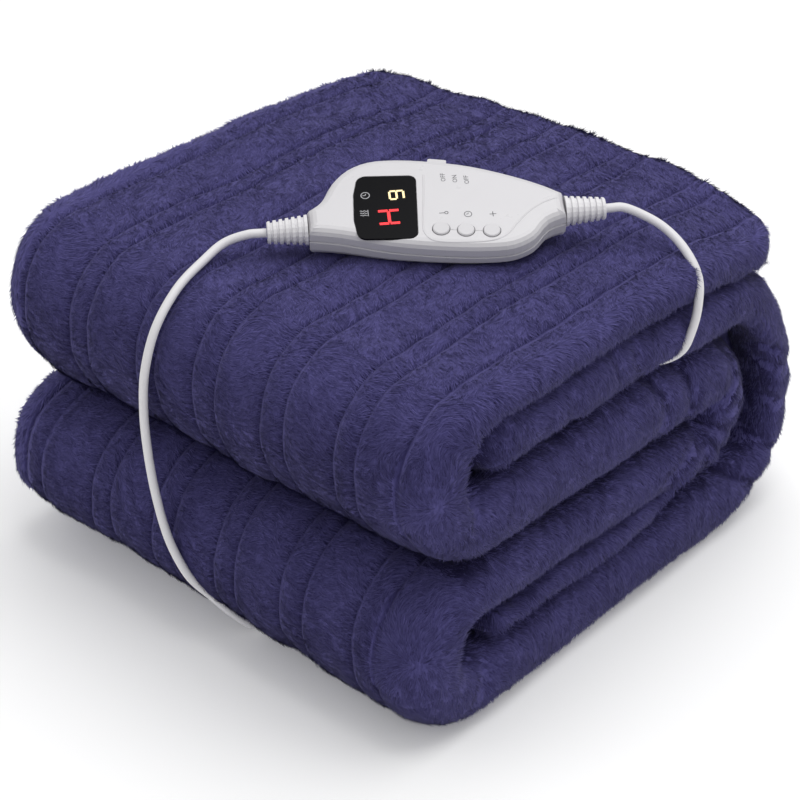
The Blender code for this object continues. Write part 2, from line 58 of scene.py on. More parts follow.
# ---------------------------------------------------------------- blanket sizes, in mm
# The rows of each layer in order along the band: top, third, fourth, bottom and second
Stretch = namedtuple("Stretch", "y z half turn turn_half squareness")
BAND = (
    Stretch(146, 192.5, 12, 0, 0, 2),
    Stretch(20, 199, 10.5, 0, 0, 2),
    Stretch(-119, 202, 9.5, -34.5, 15.5, 2.1),
    Stretch(-119, 130, 22.5, 0, 0, 2),
    Stretch(20, 125.5, 24.5, 0, 0, 2),
    Stretch(86, 119, 22, 24.5, 21, 2),
    Stretch(86, 70.5, 21.5, 0, 0, 2),
    Stretch(50, 78.5, 17, 0, 0, 2),
    Stretch(-124, 87, 18, -31.5, 17, 2.2),
    Stretch(-124, 22.5, 22.5, 0, 0, 2),
    Stretch(110.5, 22.5, 22.5, 56.3, 12.5, 2.7),
    Stretch(92, 161.5, 16.5, 0, 0, 2),
    Stretch(20, 169.5, 16.5, 0, 0, 2),
    Stretch(-104, 173.5, 17, 0, 0, 2),
)
PLY = ((-103, 57.5, 8), (0, 55.5, 8), (40, 57, 8), (72, 68, 8))  # y, z and half
HALF_WIDTH = 157.5
END_ROUND = (11, 21)  # least and most that a layer's end is rounded over
PLAN_ROUND, PLAN_DRAW, TAIL_DRAW = 38, 0.07, 0.11
TAIL_FROM = (60, 176)
CROWN, CROWN_MIDDLE, CROWN_REACH, TOP_FACE_FROM = 3, (10, 10), 105, 192
ROW_STEP = 5.5  # between rows of the cloth's mesh
TURN_STEPS = 26
CAP_STEPS = 7  # rows round a quarter of the band's own ends
ARC_STEPS = 8  # columns over the rounding of a layer's end

# Quilting seams as places along X: on the stretch from the top layer to the third, and on the rest
Seam = namedtuple("Seam", "upper upper_depth lower lower_depth")
SEAMS = (
    Seam(-135.4, 1, -135.6, 1),
    Seam(-122, 0, -122.1, 0.8),
    Seam(-101.1, 1, -86.3, 1), Seam(-87.5, 1, -73.0, 1),
    Seam(-50.5, 1, -43.5, 1), Seam(-36.9, 1, -28.5, 1),
    Seam(-10.6, 1, 3.1, 1), Seam(6.5, 1, 18.7, 1),
    Seam(39.6, 1, 54.0, 1), Seam(55.9, 1, 70.5, 1),
    Seam(92.2, 1, 106.2, 1), Seam(106.6, 1, 123.4, 1),
    Seam(134.5, 1, 135.5, 0),
)
SEAM_OFFSETS = (0, 0.9, 2.2, 4.2, 7.2)
SEAM_DEPTH, SEAM_REACH = 2.4, 2.6


# ---------------------------------------------------------------- settings that a user may change
class BlanketSettings(bpy.types.PropertyGroup):
    # the two ends of the pile's ramp of painted light and painted shade: lit tips, and shaded roots, seams, creases
    # and gaps between the layers
    lit_tip_colour: FloatVectorProperty(
        name="Pile tips", description="Colour of the plush at its tips", subtype="COLOR", size=4,
        default=(0.124, 0.114, 0.322, 1), min=0, max=1)
    shaded_root_colour: FloatVectorProperty(
        name="Pile roots", description="Colour of the plush down between its tufts", subtype="COLOR", size=4,
        default=(0.014, 0.011, 0.056, 1), min=0, max=1)
    fibre_count: IntProperty(
        name="Fibres", description="Tufts of pile over the whole pile of cloth", default=560000, min=1000)
    fibre_length: FloatProperty(
        name="Pile length", description="Length of a tuft", unit="LENGTH", subtype="DISTANCE", default=0.0062)


class HandsetSettings(bpy.types.PropertyGroup):
    shell_colour: FloatVectorProperty(
        name="Shell", description="Colour of the moulded shell, keys and leads", subtype="COLOR", size=4,
        default=(0.58, 0.57, 0.59, 1), min=0, max=1)


class StageSettings(bpy.types.PropertyGroup):
    lens: FloatProperty(name="Lens", description="Focal length in millimetres", default=115.56)
    key_power: FloatProperty(name="Key light", description="Power of the large overhead light", default=15.0)
    world_light: FloatProperty(name="Fill light", description="Brightness of the surrounding white", default=0.67)


# ---------------------------------------------------------------- shader maths
class Value:
    """A shader socket in Python arithmetic: an operator on it adds one Math node and gives its output."""

    def __init__(self, tree, socket):
        self.tree, self.socket = tree, socket

    def maths(self, operation, *others, clamp=False):
        node = self.tree.nodes.new("ShaderNodeMath")
        node.operation, node.use_clamp = operation, clamp
        for slot, value in zip(node.inputs, (self,) + others):
            feed(self.tree, slot, value)
        return Value(self.tree, node.outputs[0])

    def __add__(self, other):
        return self.maths("ADD", other)

    __radd__ = __add__

    def __sub__(self, other):
        return self.maths("SUBTRACT", other)

    def __rsub__(self, other):
        return (self * -1) + other

    def __mul__(self, other):
        return self.maths("MULTIPLY", other)

    __rmul__ = __mul__

    def clamped(self):
        return self.maths("ADD", 0.0, clamp=True)


def feed(tree, slot, value):
    """Links a value to a socket, or sets a plain number, vector or colour on it."""
    if isinstance(value, Value):
        tree.links.new(value.socket, slot)
    else:
        slot.default_value = value


class Finish:
    """A material under construction."""

    def __init__(self, name):
        self.material = bpy.data.materials.new(name)
        self.material.use_nodes = True
        self.tree = self.material.node_tree
        self.shader = self.tree.nodes["Principled BSDF"]

    def node(self, kind, settings=None, output=0, **inputs):
        """Adds a node of this kind: settings first, then values or links by socket name or number."""
        node = self.tree.nodes.new("ShaderNode" + kind)
        for key, value in (settings or {}).items():
            setattr(node, key, value)
        for key, value in inputs.items():
            slot = node.inputs[int(key[1:])] if key[1:].isdigit() else node.inputs[key.replace("_", " ")]
            feed(self.tree, slot, value)
        return Value(self.tree, node.outputs[output])

    def place(self, scale=(1, 1, 1)):
        """Object coordinates, stretched."""
        at = self.node("TexCoord", output=3)
        return self.node("Mapping", {"vector_type": "POINT"}, Vector=at, Scale=scale)

    def noise(self, at, scale, detail=3.0, roughness=0.55):
        return self.node("TexNoise", Vector=at, Scale=scale, Detail=detail, Roughness=roughness)

    def attribute(self, name):
        return self.node("Attribute", {"attribute_name": name}, output=2)

    def blend(self, share, a, b):
        """Colour a where the share is 0, and colour b where it is 1."""
        return self.node("Mix", {"data_type": "RGBA"}, output=2, i0=share, i6=a, i7=b)

    def bump(self, height, distance, strength=1.0):
        return self.node("Bump", Height=height, Distance=distance, Strength=strength)

    def set(self, **inputs):
        """Values or links for the shader's sockets, by name; gives the finished material."""
        for key, value in inputs.items():
            feed(self.tree, self.shader.inputs[key.replace("_", " ")], value)
        return self.material


# ---------------------------------------------------------------- mesh tools
def new_object(name, mesh, finish, body=PILE, smooth=True):
    """An object in the scene from this mesh and material, riding on its body if it has one."""
    made = bpy.data.objects.new(name, mesh)
    bpy.context.scene.collection.objects.link(made)
    mesh.materials.append(finish)
    if smooth:
        mesh.shade_smooth()
    if body is not None:
        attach(made, body)
    return made


def mesh_of(name, points, faces):
    """A mesh from an array of points and one of equal-sided faces, put in as whole arrays."""
    mesh = bpy.data.meshes.new(name)
    corners = faces.ravel().astype(np.int32)
    starts = np.arange(0, len(corners), faces.shape[1], dtype=np.int32)
    mesh.vertices.add(len(points))
    mesh.vertices.foreach_set("co", np.asarray(points, np.float32).ravel())
    mesh.loops.add(len(corners))
    mesh.loops.foreach_set("vertex_index", corners)
    mesh.polygons.add(len(faces))
    mesh.polygons.foreach_set("loop_start", starts)
    mesh.update(calc_edges=True)
    return mesh


def write_attribute(mesh, name, values):
    """A number for each point of the mesh, for its material to read."""
    data = mesh.attributes.new(name, "FLOAT", "POINT").data
    data.foreach_set("value", values.ravel().astype(np.float32))


def grid_faces(rows, columns, wrap_rows=False):
    """Quads over a grid of points numbered row by row."""
    r = np.arange(rows if wrap_rows else rows - 1)[:, None]
    c = np.arange(columns - 1)[None]
    below = (r + 1) % rows
    quads = np.stack([r * columns + c, r * columns + c + 1, below * columns + c + 1, below * columns + c], axis=-1)
    return quads.reshape(-1, 4)


def merged(mesh, distance=1e-5):
    """The mesh with its doubles merged and its faces pointing out."""
    shape = bmesh.new()
    shape.from_mesh(mesh)
    bmesh.ops.remove_doubles(shape, verts=shape.verts, dist=distance)
    bmesh.ops.recalc_face_normals(shape, faces=shape.faces)
    shape.to_mesh(mesh)
    shape.free()
    return mesh


def smoothstep(low, high, value):
    """0 up to low, 1 from high on, and a smooth cubic between them."""
    t = np.clip((value - low) / (high - low), 0, 1)
    return t * t * (3 - 2 * t)


def unit(vectors):
    """The same vectors at length 1."""
    return vectors / np.maximum(np.linalg.norm(vectors, axis=-1, keepdims=True), 1e-9)


def distances(line):
    """Each point's distance along the line."""
    return np.concatenate([[0], np.cumsum(np.linalg.norm(np.diff(line, axis=0), axis=1))])


def resampled(line, along, step, least=1):
    """The line's values at even distances of about a step, and those distances."""
    wanted = np.linspace(0, along[-1], max(least, round(along[-1] / step)) + 1)
    return np.stack([np.interp(wanted, along, column) for column in line.T], axis=1), wanted


def soft_noise(a, b, scale, seed, octaves=2):
    """Smooth uneven values in -1…1 over two arrays: sums of sines along random directions."""
    random = np.random.default_rng(seed)
    total, weight = 0.0, 0.0
    for octave in range(octaves):
        for _ in range(6):
            angle, phase = random.uniform(0, math.tau, 2)
            wave = math.tau / scale * 2**octave * random.uniform(0.7, 1.3)
            total = total + np.sin(wave * (a * math.cos(angle) + b * math.sin(angle)) + phase) / 2**octave
        weight += 3.0 / 2**octave
    return total / weight


# ---------------------------------------------------------------- the band of cloth
def turn(start, end, reach, half, squareness):
    """Half a superellipse from one row to the next, reaching sideways, with its half thickness along it."""
    angles = np.linspace(0, math.pi, TURN_STEPS + 2)[1:-1]
    middle, arm = (start[:2] + end[:2]) / 2, (start[:2] - end[:2]) / 2
    power = 2 / squareness
    cosine = np.sign(np.cos(angles)) * np.abs(np.cos(angles)) ** power
    sine = np.sin(angles) ** power
    places = middle + cosine[:, None] * arm + sine[:, None] * np.array([reach, 0])
    share = angles / math.pi
    bulge = np.sin(angles) ** 2
    return np.column_stack([places, (start[2] * (1 - share) + end[2] * share) * (1 - bulge) + half * bulge])


def band_line():
    """The band's middle line as rows of y, z and half thickness: its stretches in order, joined by the turns."""
    rows = []
    for row, after in zip(BAND, BAND[1:] + (None,)):
        start = np.array([row.y, row.z, row.half], float)
        rows.append(start[None])
        if row.turn:
            end = np.array([after.y, after.z, after.half], float)
            rows.append(turn(start, end, row.turn, row.turn_half, row.squareness))
    return np.concatenate(rows)


def evened(line, step=ROW_STEP, smoothing=2):
    """The line with rows an equal step apart, its kinks softened by a running average that keeps its ends."""
    rows, wanted = resampled(line, distances(line[:, :2]), step)
    for _ in range(smoothing):
        rows[1:-1] = 0.25 * rows[:-2] + 0.5 * rows[1:-1] + 0.25 * rows[2:]
    return rows, wanted


Edge = namedtuple("Edge", "middle offset along side")


def edge_of(line, along):
    """Points all round the band's edge: its middle, the way out from it, the place along the band, the side."""
    steps = unit(np.gradient(line[:, :2], axis=0))
    normal = np.stack([-steps[:, 1], steps[:, 0]], axis=1)
    half = line[:, 2:3]
    angles = np.linspace(math.pi / 2, -math.pi / 2, 2 * CAP_STEPS + 1)[1:-1]

    def cap(way, size):
        side = np.array([-way[1], way[0]])
        return size * (np.cos(angles)[:, None] * way + np.sin(angles)[:, None] * side)

    count = len(angles)
    last, first = cap(steps[-1], half[-1]), cap(-steps[0], half[0])
    middle = np.concatenate([line[:, :2], np.repeat(line[-1:, :2], count, 0), line[::-1, :2],
                             np.repeat(line[:1, :2], count, 0)])
    offset = np.concatenate([normal * half, last, (-normal * half)[::-1], first])
    places = np.concatenate([along, np.full(count, along[-1]), along[::-1], np.zeros(count)])
    side = np.concatenate([np.full(len(line), -1.0), np.cos(np.linspace(math.pi, 0, count)),
                           np.ones(len(line)), np.cos(np.linspace(0, math.pi, count))])
    return Edge(middle, offset, places, side)


def columns_between(seams):
    """Places along X for the mesh's columns between the first seam and the last: close beside each seam."""
    places = [seams[0]]
    for a, b in zip(seams, seams[1:]):
        span = b - a
        near = [o for o in SEAM_OFFSETS[1:] if o < span / 2 - 1.2]
        middle = np.linspace(a + near[-1], b - near[-1], max(2, round((span - 2 * near[-1]) / 3.6) + 1))[1:-1]
        places += [a + o for o in near] + list(middle) + [b - o for o in near[::-1]] + [b]
    return np.array(places)


def pile_grid(line, along, half_width, shift=0.0):
    """The cloth as a grid: rows all round the band's edge, columns along X. A layer's end is a quarter arc, over
    which its thickness goes from whole to none, so that its two faces meet in one line."""
    edge = edge_of(line, along)
    # 0 on the upper stretch of the band, 1 on the rest of it: the seams shift over inside the third layer
    lower = smoothstep(shift - 60, shift + 60, edge.along)[:, None]
    upper_x = np.array([seam.upper for seam in SEAMS])
    lower_x = np.array([seam.lower for seam in SEAMS])
    base = columns_between(upper_x)
    moved = np.interp(base, upper_x, lower_x)
    flat = base[None] * (1 - lower) + moved[None] * lower
    size = np.linalg.norm(edge.offset, axis=1)[:, None]
    rounding = np.clip(size * 1.15, *END_ROUND)
    angles = np.linspace(0, math.pi / 2, ARC_STEPS + 1)
    arc = half_width - rounding + rounding * np.sin(angles)[None]
    share = np.cos(angles)[None] ** 0.9 * np.ones_like(size)
    inner_right = np.linspace(0, 1, 5)[None, 1:-1]
    bridge = flat[:, -1:] + (arc[:, :1] - flat[:, -1:]) * inner_right
    bridge_left = flat[:, :1] + (-arc[:, :1] - flat[:, :1]) * inner_right
    x = np.concatenate([-arc[:, ::-1], bridge_left[:, ::-1], flat, bridge, arc], axis=1)
    ones = np.ones((len(size), flat.shape[1] + 2 * bridge.shape[1]))
    share = np.concatenate([share[:, ::-1], ones, share], axis=1)
    return edge, x, share, lower


# Creases across the layers' ends at +X, as depth in mm and places (y, z) along each
CREASES = (
    (2.0, ((-57, 177), (-55, 170), (-50, 161))),
    (2.0, ((-12, 182), (-11, 175), (-8, 166))),
    (2.0, ((5, 179), (6, 172), (10, 164))),
    (2.4, ((28, 148), (37, 133), (39, 122), (35, 111))),
    (2.8, ((55, 145), (63, 131), (65, 119), (62, 107))),
    (2.4, ((-124, 153), (-133, 151), (-137, 144), (-139, 136))),
    (3.4, ((98, 141), (108, 129), (110, 114), (103, 104), (88, 99), (76, 98))),
    (2.8, ((110, 134), (121, 121), (125, 105), (118, 97), (107, 92))),
    (3.4, ((125, 114), (138, 96), (145, 77), (142, 65), (131, 55), (109, 52), (85, 59))),
    (2.8, ((78, 95), (112, 77), (130, 70))),
    (2.4, ((79, 87), (97, 72), (114, 58))),
    (2.6, ((87, 56), (122, 35), (146, 18))),
    (2.8, ((77, 95), (78, 85), (65, 81), (45, 75))),
    (2.8, ((81, 83), (85, 69), (80, 61), (45, 54))),
    (2.8, ((122, 128), (151, 114))),
    (3.2, ((130, 112), (166, 94))),
    (2.8, ((145, 78), (167, 69))),
    (2.6, ((139, 54), (163, 32))),
    (2.4, ((-132, 19), (-128, 29), (-119, 40))),
)
CREASE_FROM, CREASE_REACH = 118, 3.4


def crease_depth(y, z):
    """Depth of the deepest crease at each place, as a soft trough, and the distance to the nearest crease."""
    deepest, nearest = np.zeros(y.shape), np.full(y.shape, 1e9)
    for depth, places in CREASES:
        for (y0, z0), (y1, z1) in zip(places, places[1:]):
            run, rise = y1 - y0, z1 - z0
            share = np.clip(((y - y0) * run + (z - z0) * rise) / (run**2 + rise**2), 0, 1)
            distance = np.hypot(y - y0 - share * run, z - z0 - share * rise)
            deepest = np.maximum(deepest, 1.5 * depth * np.exp(-((distance / CREASE_REACH) ** 2)))
            nearest = np.minimum(nearest, distance * 1.6 / depth)
    return deepest, nearest


def seam_depth(x, lower):
    """How deep the quilting pulls the cloth in: a cusp at each seam that dies out over a few millimetres."""
    total, nearest = np.zeros_like(x), np.full_like(x, 1e9)
    for seam in SEAMS:
        place = seam.upper * (1 - lower) + seam.lower * lower
        depth = seam.upper_depth * (1 - lower) + seam.lower_depth * lower
        distance = np.abs(x - place)
        total = np.maximum(total, depth * np.exp(-distance / SEAM_REACH))
        nearest = np.minimum(nearest, distance + 20 * (1 - depth))
    return total, nearest


# The cloth's soft bulges as depth and wavelength, how far it stands out, and the hem seam at its free end
BULGES = ((1.6, 90), (0.7, 26))
CLOTH_PROUD = 0.6
HEM_PLACE, HEM_DEPTH, HEM_REACH = 9, 2.2, 3
END_WANDER, END_WAVE = 1.5, 120  # how far the layers' ends wander along X, and over what length


def cloth_points(line, along, half_width, seed, shift):
    """The cloth's surface, each point's distance to the nearest seam, and the band's edge: the edge is pushed out
    by its half thickness and a soft noise, less the depth of seams, hem and creases, and then shaped as a whole."""
    edge, x, share, lower = pile_grid(line, along, half_width, shift)
    pulled, nearest = seam_depth(x, lower)
    size = np.linalg.norm(edge.offset, axis=1)[:, None]
    way = edge.offset / size
    place = edge.along[:, None] * np.ones_like(x)
    side = edge.side[:, None] * np.ones_like(x)
    spread = place + 300 * side  # keeps the two faces' noise apart
    uneven = sum(depth * soft_noise(spread, x, wave, seed + n) for n, (depth, wave) in enumerate(BULGES))
    pulled = pulled * (0.25 + 0.75 * smoothstep(4, 22, place))
    off_cap = smoothstep(0, 0.75, share)
    reach = size * share - (SEAM_DEPTH * pulled - CLOTH_PROUD - uneven) * off_cap
    from_hem = np.abs(place - HEM_PLACE) + 40 * (np.abs(side) < 0.99)
    reach -= HEM_DEPTH * np.exp(-from_hem / HEM_REACH) * off_cap
    nearest = np.minimum(nearest, from_hem)
    wander = END_WANDER * soft_noise(place, place * 0 + 3, END_WAVE, seed + 5)
    x = x + wander * smoothstep(0.9, 0.2, share) * np.sign(x)
    yz = edge.middle[:, None] + way[:, None] * reach[..., None]
    creased = crease_depth(yz[..., 0], yz[..., 1])[0]
    x = x - creased * smoothstep(CREASE_FROM, CREASE_FROM + 28, x)
    points = np.concatenate([x[..., None], yz], axis=-1)
    return shaped(points, half_width), nearest, edge


# How the folded layers spread and sag, in mm: out at -X, less so the upper ones; in and up under the front; out at
# the wrap at +X; in and down at the back of the top
LEFT_OUT, LEFT_LESS = 14, 8
FRONT_IN, FRONT_UP = 8, 6
WRAP_OUT = 7
BACK_IN, BACK_DOWN = 6, 5


def shaped(points, half_width):
    """The plan's rounded corners, the slight crown of the top, and how the folded layers spread and sag."""
    x, y, z = points[..., 0], points[..., 1], points[..., 2]
    inward = np.clip((half_width - np.abs(x)) / PLAN_ROUND, 0, 1)
    drawn = 1 - np.sqrt(1 - (1 - inward) ** 2)
    top = smoothstep(TAIL_FROM[1], TAIL_FROM[1] + 8, z)
    tail = top * np.clip((y - TAIL_FROM[0]) / TAIL_FROM[0], 0, 1)
    y = y * (1 - drawn * (PLAN_DRAW + TAIL_DRAW * tail))
    distance = np.hypot(x - CROWN_MIDDLE[0], y - CROWN_MIDDLE[1]) / CROWN_REACH
    z = z + CROWN * np.exp(-(distance**2)) * smoothstep(TOP_FACE_FROM - 4, TOP_FACE_FROM + 4, z)
    left, right = smoothstep(-20, -150, x), smoothstep(-60, 140, x)
    upper = smoothstep(80, 120, z)
    x = x - left * ((LEFT_OUT - LEFT_LESS * upper) * smoothstep(-10, -110, y) - top * smoothstep(20, 120, y))
    low = smoothstep(52, 0, z) * smoothstep(-95, -150, y) * (1 + 0.5 * left - 0.9 * right)
    wrap = smoothstep(105, 160, y) * smoothstep(4, 34, z) * (1 - smoothstep(95, 150, z)) * right
    back = top * smoothstep(50, 150, y) * (1 - 0.8 * smoothstep(-110, 0, x) + 1.2 * smoothstep(70, 155, x))
    y, z = y + FRONT_IN * low + WRAP_OUT * wrap - BACK_IN * back, z + FRONT_UP * low - BACK_DOWN * back
    return np.stack([x, y, np.maximum(z, 0)], axis=-1)


SHIFT_AT = (20, 125)  # y, z inside the third layer, where the seams shift over


def folded_band():
    """The folded cloth's points, their distances to the nearest seam, and its edge."""
    line, along = evened(band_line())
    shift = along[np.argmin(np.hypot(line[:, 0] - SHIFT_AT[0], line[:, 1] - SHIFT_AT[1]))]
    return cloth_points(line, along, HALF_WIDTH, SEED, shift)


def inner_ply():
    """The same for the short ply that shows inside the fold, a little narrower than the rest."""
    line, along = evened(np.array(PLY, float))
    return cloth_points(line, along, HALF_WIDTH - 2, SEED + 9, -200)


def plush(settings):
    """Short navy plush: in painted shade between its tufts, down in the seams and hem and over the inner ply inside
    the fold; paler where the nap lies over, in patches.
    """
    f = Finish("navy_plush")
    streaks = f.noise(f.place(scale=(900, 260, 260)), 1.0, 3.0, 0.6)
    patches = f.noise(f.place(), 28.0, 3.0)
    painted_light_level = f.attribute("open")
    # painted shade: the open attribute darkens the cloth down in the seams and hem and over the inner ply; streaks
    # and patches are a random tone
    shade = ((streaks - 0.5) * 0.9 + (patches - 0.5) * 0.5 + 0.5) * (painted_light_level * 0.62 + 0.3)
    colour = f.blend(shade.clamped(), tuple(settings.shaded_root_colour), tuple(settings.lit_tip_colour))
    height = f.bump(streaks, 0.0015, 0.8)
    return f.set(Base_Color=colour, Roughness=0.95, Normal=height, Sheen_Weight=0.05, Sheen_Roughness=0.5,
                 Specular_IOR_Level=0.1)


def pile_fibres(settings):
    """One tuft's colour from its shade attribute, which holds painted light and painted shade as well as a random
    tone, with soft patches where the nap has been stroked another way.
    """
    f = Finish("navy_pile")
    shade = f.attribute("shade")
    patches = f.noise(f.place(), 30.0, 3.0)
    mixed = (shade + (patches - 0.5) * 0.35).clamped()
    colour = f.blend(mixed, tuple(settings.shaded_root_colour), tuple(settings.lit_tip_colour))
    return f.set(Base_Color=colour, Roughness=0.85, Sheen_Weight=0.04, Sheen_Roughness=0.5,
                 Specular_IOR_Level=0.15)


# Each field of pile: its name, its share of all the tufts, and the tufts' width in mm
Field = namedtuple("Field", "name share width")
FIELDS = (
    Field("pile_top", 0.32, 0.6),
    Field("pile_front", 0.27, 0.6),
    Field("pile_right", 0.23, 0.65),
    Field("pile_left", 0.09, 1.0),
    Field("pile_back", 0.09, 1.0),
)
TOP, FRONT, RIGHT, LEFT, BACK = range(5)
PLY_FIELD, PLY_TUFTS = Field("pile_inner_ply", 0, 0.65), 16000
MOST_TUFTS = 198000  # in one field
TUFT_LIFT, LIFT_SPREAD, LIFT_LIMITS = 9, 4, (2, 22)  # degrees that a tuft stands up from the cloth
# mm along X past which the pile belongs to a layer's end: between the layers, and on the faces that show
END_FROM, END_TURNS = 126, 147
# Where the pile parts and lies outwards all round: x, y, z and reach in mm
WHORLS = ((146, -152, 163, 34), (142, -158, 62, 36))
# The way the nap lies on each field, in the order above
NAPS = ((0.75, -0.66, 0), (1, 0, 0.12), (0, 0.25, -1), (0, 0.25, -1), (0.3, 0, -0.95))


def surface_frame(points, edge):
    """Unit normals over the grid, pointing out, and the size of each cell."""
    rows = np.roll(points, -1, axis=0) - np.roll(points, 1, axis=0)
    columns = np.gradient(points, axis=1)
    normal = unit(np.cross(rows, columns))
    middle = points.shape[1] // 2
    if (normal[:, middle, 1:] * edge.offset).sum() < 0:
        normal = -normal
    down = np.roll(points, -1, axis=0) - points
    across = points[:, 1:] - points[:, :-1]
    area = np.linalg.norm(np.cross(down[:, :-1], across), axis=2)
    return normal, area


def field_of(x, y, z, outward):
    """Which field of pile each cell belongs to, -1 where the cloth is out of sight between its layers."""
    field = np.full(x.shape, -1)
    field[(x > END_FROM) & (z > 1)] = RIGHT
    field[(x < -END_FROM) & (z > 1)] = LEFT
    level = np.abs(x) < END_TURNS
    open_face = (outward > 0) & (z > 2.5) & level
    field[(outward > -0.98) & (z > 176) & level] = TOP
    field[open_face & (y < -112) & (z < 212) & ((z < 196) | (y < -132))] = FRONT
    field[open_face & (y > 122) & (z < 186)] = BACK
    return field


def nap_at(place, normal, field):
    """The way the pile lies: set for each face, turned slowly by a soft noise, and outwards round each whorl."""
    ways = np.array(NAPS, float)
    way = ways[field]
    front = smoothstep(-118, -165, place[:, 1])[:, None]
    upper = (field == TOP)[:, None]
    way = np.where(upper, ways[TOP] * (1 - front) + ways[FRONT] * front, way)
    for x, y, z, reach in WHORLS:
        out = place - np.array([x, y, z])
        distance = np.linalg.norm(out, axis=1)[:, None]
        share = np.exp(-((distance / reach) ** 2))
        way = way * (1 - share) + out / np.maximum(distance, 1e-6) * share * 1.5
    way = unit(way - normal * (way * normal).sum(1)[:, None])
    side = np.cross(normal, way)
    a, b = place[:, 0] + 0.7 * place[:, 2], place[:, 1] - 0.6 * place[:, 2]
    swing = 0.5 * soft_noise(a, b, 34, SEED + 21) + 0.45 * soft_noise(a, b, 9, SEED + 22)
    return way, side, swing


def tufts(field_made, count, length, grid, rng, finish):
    """One field of pile as a mesh of slim three-sided tufts, each rooted at a random place on the cloth."""
    points, normal, weight, field, nearest, inward = grid
    pick = np.searchsorted(np.cumsum(weight.ravel()) / weight.sum(), rng.random(count))
    row, column = np.unravel_index(np.minimum(pick, weight.size - 1), weight.shape)
    below = (row + 1) % len(points)
    a, b = rng.random((2, count, 1))

    def read(values):
        top = values[row, column] * (1 - b) + values[row, column + 1] * b
        foot = values[below, column] * (1 - b) + values[below, column + 1] * b
        return top * (1 - a) + foot * a

    place, up = read(points), unit(read(normal))
    gap = read(nearest[..., None])[:, 0]
    way, side, swing = nap_at(place, up, field[row, column])
    swing = (swing + rng.normal(0, 0.16, count)) * smoothstep(-1, 3, gap)
    lie = way * np.cos(swing)[:, None] + side * np.sin(swing)[:, None]
    across = np.cross(up, lie)
    creased = crease_depth(place[:, 1], place[:, 2])[1] + 9 * (place[:, 0] < CREASE_FROM)
    near = smoothstep(0.2, 2.6, gap)
    lift = np.radians(rng.normal(TUFT_LIFT, LIFT_SPREAD, count).clip(*LIFT_LIMITS) * (0.5 + 0.5 * near))[:, None]
    reach = (length * rng.uniform(0.7, 1.25, count) * (0.6 + 0.4 * near))[:, None]
    root = place - up * 0.3
    tip = root + reach * (lie * np.cos(lift) + up * np.sin(lift))
    half = across * field_made.width / 2
    keep = (gap > 0.45) & (tip[:, 2] > 0.3)
    corners = np.stack([root + half, root - half, tip], axis=1)[keep]
    a, b = place[:, 0] + place[:, 2], place[:, 1] - place[:, 2]
    clump = 0.5 + 0.5 * soft_noise(a, b, 5.5, SEED + 31, 3)
    # painted light: tufts on level cloth lighter, on upright cloth darker, as if lit from above
    facing_light = 0.60 + 0.54 * smoothstep(-0.1, 0.95, up[:, 2])
    # tip brightness: a random tone in clumps and from tuft to tuft, times the painted light
    glow = (0.42 + 0.32 * clump + rng.normal(0, 0.19, count)) * facing_light
    # painted shade: tufts darker towards the layers' ends where they lie between other layers
    free_end = (place[:, 1] > 115) & (place[:, 2] > 165)
    between = (inward[row] & ~free_end) | ((np.abs(place[:, 1]) < 135) & (place[:, 2] > 16) & (place[:, 2] < 188))
    layer_gap_shade = 1 - 0.88 * smoothstep(157, 141, np.abs(place[:, 0])) * between
    # painted shade down in the creases
    crease_shade = 1 - 0.72 * np.exp(-((creased / 1.5) ** 2))
    # painted shade down in the seams and hem, times that between the layers and in the creases
    dim = (0.3 + 0.7 * near) * layer_gap_shade * crease_shade
    # painted shade at the roots: each tuft's two root corners at 0.55 of its tip
    shade = np.stack([glow * 0.55, glow * 0.55, glow], axis=1) * dim[:, None]
    shade = shade[keep].clip(0, 1)
    total = len(corners)
    mesh = mesh_of(field_made.name, corners.reshape(-1, 3) * MM, np.arange(total * 3).reshape(-1, 3))
    write_attribute(mesh, "shade", shade)
    lean = up + lie * rng.normal(0, 0.14, count)[:, None] + across * rng.normal(0, 0.26, count)[:, None]
    lean = unit(lean)[keep]
    made = new_object(field_made.name, mesh, finish)
    mesh.normals_split_custom_set_from_vertices(np.repeat(lean, 3, axis=0).astype(np.float32))
    cells = math.ceil(math.sqrt(total))
    spot = np.stack([np.arange(total) % cells, np.arange(total) // cells], axis=1)[:, None]
    inside = np.array([(0.15, 0.15), (0.85, 0.15), (0.5, 0.85)])[None]
    layer = mesh.uv_layers.new(name="OFBake")
    layer.uv.foreach_set("vector", ((spot + inside) / cells).astype(np.float32).ravel())
    return made


class BLANKET_OT_pile(bpy.types.Operator):
    """Cover the cloth's visible faces with plush pile"""

    bl_idname = "blanket.pile"
    bl_label = "Pile"

    def execute(self, context):
        settings = context.scene.blanket_settings
        finish, length = pile_fibres(settings), settings.fibre_length / MM
        points, nearest, edge = folded_band()
        normal, area = surface_frame(points, edge)
        middle = (points[:, :-1] + points[:, 1:]) / 2
        outward = edge.side[:, None] * np.ones(area.shape)
        fields = field_of(middle[..., 0], middle[..., 1], middle[..., 2], outward)
        made = []
        for number, field in enumerate(FIELDS):
            weight = area * (fields == number)
            rng = np.random.default_rng(SEED + number)
            count = min(round(settings.fibre_count * field.share), MOST_TUFTS)
            grid = points, normal, weight, fields, nearest, edge.side < 0
            made.append(tufts(field, count, length, grid, rng, finish))
        points, nearest, edge = inner_ply()
        normal, area = surface_frame(points, edge)
        fields = np.where(points[:, 1:, 0] > END_FROM, RIGHT, -1)
        nowhere = np.zeros(len(edge.side), bool)
        grid = points, normal, area * (fields == RIGHT), fields, nearest + 9, nowhere
        made.append(tufts(PLY_FIELD, PLY_TUFTS, length, grid, np.random.default_rng(SEED + 9), finish))
        for piece in made:
            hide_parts("blanket")
        return {"FINISHED"}


